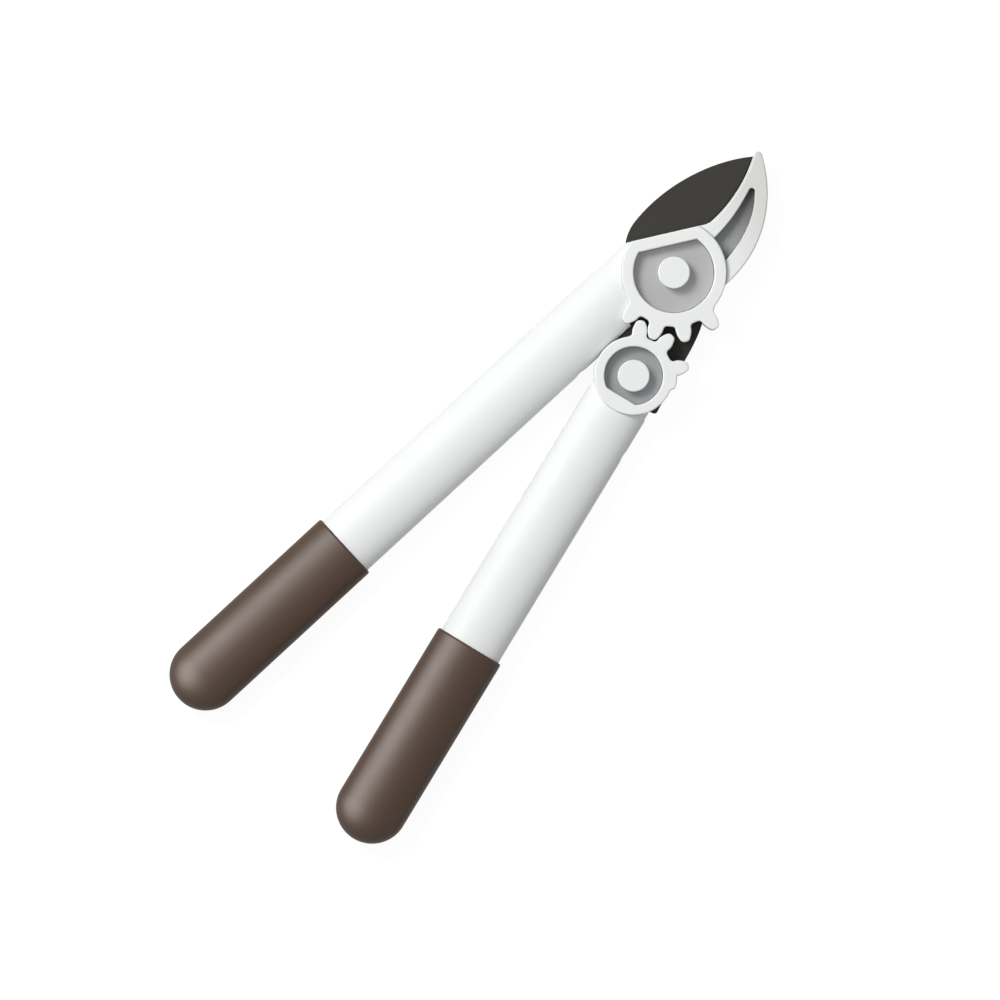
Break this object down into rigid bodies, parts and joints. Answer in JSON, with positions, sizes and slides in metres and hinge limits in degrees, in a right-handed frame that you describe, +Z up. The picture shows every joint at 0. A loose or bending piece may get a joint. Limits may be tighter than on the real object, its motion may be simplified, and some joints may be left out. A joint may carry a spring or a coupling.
{
  "type": "anvil lopper",
  "caption": "Compact geared anvil lopper with oval tube handles and soft grips. Toothed discs couple the lever handle to a blade that closes on a curved anvil arm.",
  "frame": {"origin": "On the main pivot's axis, on the surface that the closed tool lies on", "axes": "+Y along the anvil handle towards the jaws, +X towards the lever handle's side, +Z up out of the pictured face"},
  "size_m": [0.1512, 0.415, 0.0253],
  "materials": {
    "white_coated_tube": "smooth white powder coat",
    "white_enamelled_casting": "satin white enamel on a casting",
    "white_cap_plastic": "smooth moulded plastic",
    "brown_soft_grip": "fine matt moulded skin",
    "dark_coated_blade_steel": "thin dark low-friction coat",
    "zinc_plated_steel": "zinc plate",
    "sintered_bronze": "sintered",
    "nylon_washer": "plain"
  },
  "bodies": {
    "anvil_side": {"anvil_handle_tube": "white_coated_tube", "anvil_grip": "brown_soft_grip", "anvil_head": "white_enamelled_casting", "front_fixed_gear": "white_enamelled_casting", "rear_fixed_gear": "white_enamelled_casting", "anvil_head_pin": "zinc_plated_steel", "main_pivot_bolt": "zinc_plated_steel", "main_pivot_nut": "zinc_plated_steel", "front_pivot_cap": "white_cap_plastic", "rear_pivot_cap": "white_cap_plastic", "front_main_pivot_washer": "nylon_washer", "rear_main_pivot_washer": "nylon_washer"},
    "blade_and_tang": {"blade": "dark_coated_blade_steel", "blade_bush": "sintered_bronze", "tang_bush": "sintered_bronze"},
    "lever_side": {"lever_handle_tube": "white_coated_tube", "lever_grip": "brown_soft_grip", "lever_head": "white_enamelled_casting", "front_lever_gear": "white_enamelled_casting", "rear_lever_gear": "white_enamelled_casting", "lever_head_pin": "zinc_plated_steel", "lever_pivot_bolt": "zinc_plated_steel", "lever_pivot_nut": "zinc_plated_steel", "front_lever_cap": "white_cap_plastic", "rear_lever_cap": "white_cap_plastic", "front_lever_pivot_washer": "nylon_washer", "rear_lever_pivot_washer": "nylon_washer"}
  },
  "joints": [
    {"name": "blade_pivot", "type": "hinge", "parent": "anvil_side", "child": "blade_and_tang", "pos_m": [0, 0, 0.01265], "axis": [0, 0, 1], "range_deg": [0, 42]},
    {"name": "lever_pivot", "type": "hinge", "parent": "blade_and_tang", "child": "lever_side", "pos_m": [0.02521, -0.05168, 0.01265], "axis": [0, 0, 1], "range_deg": [0, 54.6]}
  ],
  "couplings": [
    {"joint": "lever_pivot", "follows": "blade_pivot", "ratio": 1.3}
  ]
}
